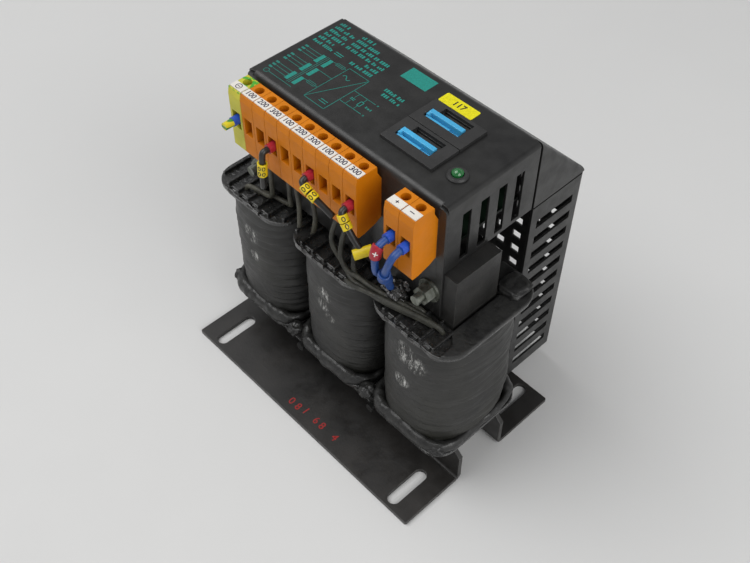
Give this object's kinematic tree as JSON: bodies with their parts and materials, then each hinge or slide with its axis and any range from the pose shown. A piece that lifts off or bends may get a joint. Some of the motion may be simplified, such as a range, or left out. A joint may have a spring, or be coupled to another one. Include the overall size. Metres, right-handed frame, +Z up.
{
  "type": "electrical transformer",
  "caption": "Open-frame three-phase transformer supply: three taped coils on a laminated core, a terminal strip, two blade fuses and a folded perforated cover.",
  "frame": {"origin": "on the mounting plane under the feet, below the middle of the whole outline", "axes": "+X along the row of coils towards the output terminals, +Y from the terminals towards the guard, +Z up"},
  "size_m": [0.168, 0.1336, 0.1828],
  "materials": {
    "core_steel": "satin black varnish over steel sheets",
    "bracket_steel": "satin black varnish",
    "zinc_steel": "zinc plated, dulled by varnish",
    "bobbin_plastic": "black nylon under varnish",
    "enamelled_wire": "enamelled copper",
    "varnished_tape": "black varnished tape, semi gloss",
    "black_paint": "fine satin black powder coat",
    "terminal_green": "satin",
    "terminal_orange": "satin",
    "marker_white": "satin",
    "board_green": "gloss solder mask",
    "holder_black": "satin",
    "tinned_metal": "tinned",
    "capacitor_black": "gloss sleeve",
    "fuse_blue": "gloss, slightly clear",
    "lamp_green": "gloss, diffused",
    "label_yellow": "satin",
    "lead_sleeving": "varnished olive grey sleeving",
    "ferrule_blue": "satin",
    "ferrule_red": "satin",
    "earth_insulation": "satin, green and yellow",
    "black_insulation": "satin",
    "blue_insulation": "satin",
    "sleeve_yellow": "satin",
    "sleeve_red": "satin",
    "varnish": "hardened varnish over tape and cord"
  },
  "bodies": {
    "root": {"core_stack": "core_steel", "core_yoke": "core_steel", "front_bracket": "bracket_steel", "rear_bracket": "bracket_steel", "lower_bolts": "zinc_steel", "lower_washers": "zinc_steel", "lower_nuts": "zinc_steel", "upper_bolts": "zinc_steel", "upper_washers": "zinc_steel", "upper_nuts": "zinc_steel", "bobbin_left": "bobbin_plastic", "bobbin_middle": "bobbin_plastic", "bobbin_right": "bobbin_plastic", "secondary_winding_left": "enamelled_wire", "secondary_winding_middle": "enamelled_wire", "secondary_winding_right": "enamelled_wire", "primary_winding_left": "enamelled_wire", "primary_winding_middle": "enamelled_wire", "primary_winding_right": "enamelled_wire", "coil_wrap_left": "varnished_tape", "coil_wrap_middle": "varnished_tape", "coil_wrap_right": "varnished_tape", "housing_cover": "black_paint", "earth_terminal": "terminal_green", "primary_terminals": "terminal_orange", "output_terminals": "terminal_orange", "terminal_clamps": "zinc_steel", "terminal_screws": "zinc_steel", "terminal_markers": "marker_white", "circuit_board": "board_green", "board_spacers": "marker_white", "rectifier": "holder_black", "rectifier_pins": "tinned_metal", "capacitor": "capacitor_black", "fuse_holder_front": "holder_black", "fuse_holder_rear": "holder_black", "fuse_front": "fuse_blue", "fuse_rear": "fuse_blue", "fuse_blades": "tinned_metal", "fuse_clips": "tinned_metal", "lamp_ring": "holder_black", "lamp_lens": "lamp_green", "lamp_legs": "tinned_metal", "rating_label": "label_yellow", "coil_leads": "lead_sleeving", "lead_bundle": "lead_sleeving", "ferrule_tips": "tinned_metal", "ferrules_blue": "ferrule_blue", "ferrules_red": "ferrule_red", "earth_stub": "earth_insulation", "lead_stubs": "black_insulation", "output_leads": "blue_insulation", "number_sleeves": "sleeve_yellow", "polarity_sleeve": "sleeve_red", "varnish_knot": "varnish"}
  },
  "joints": []
}
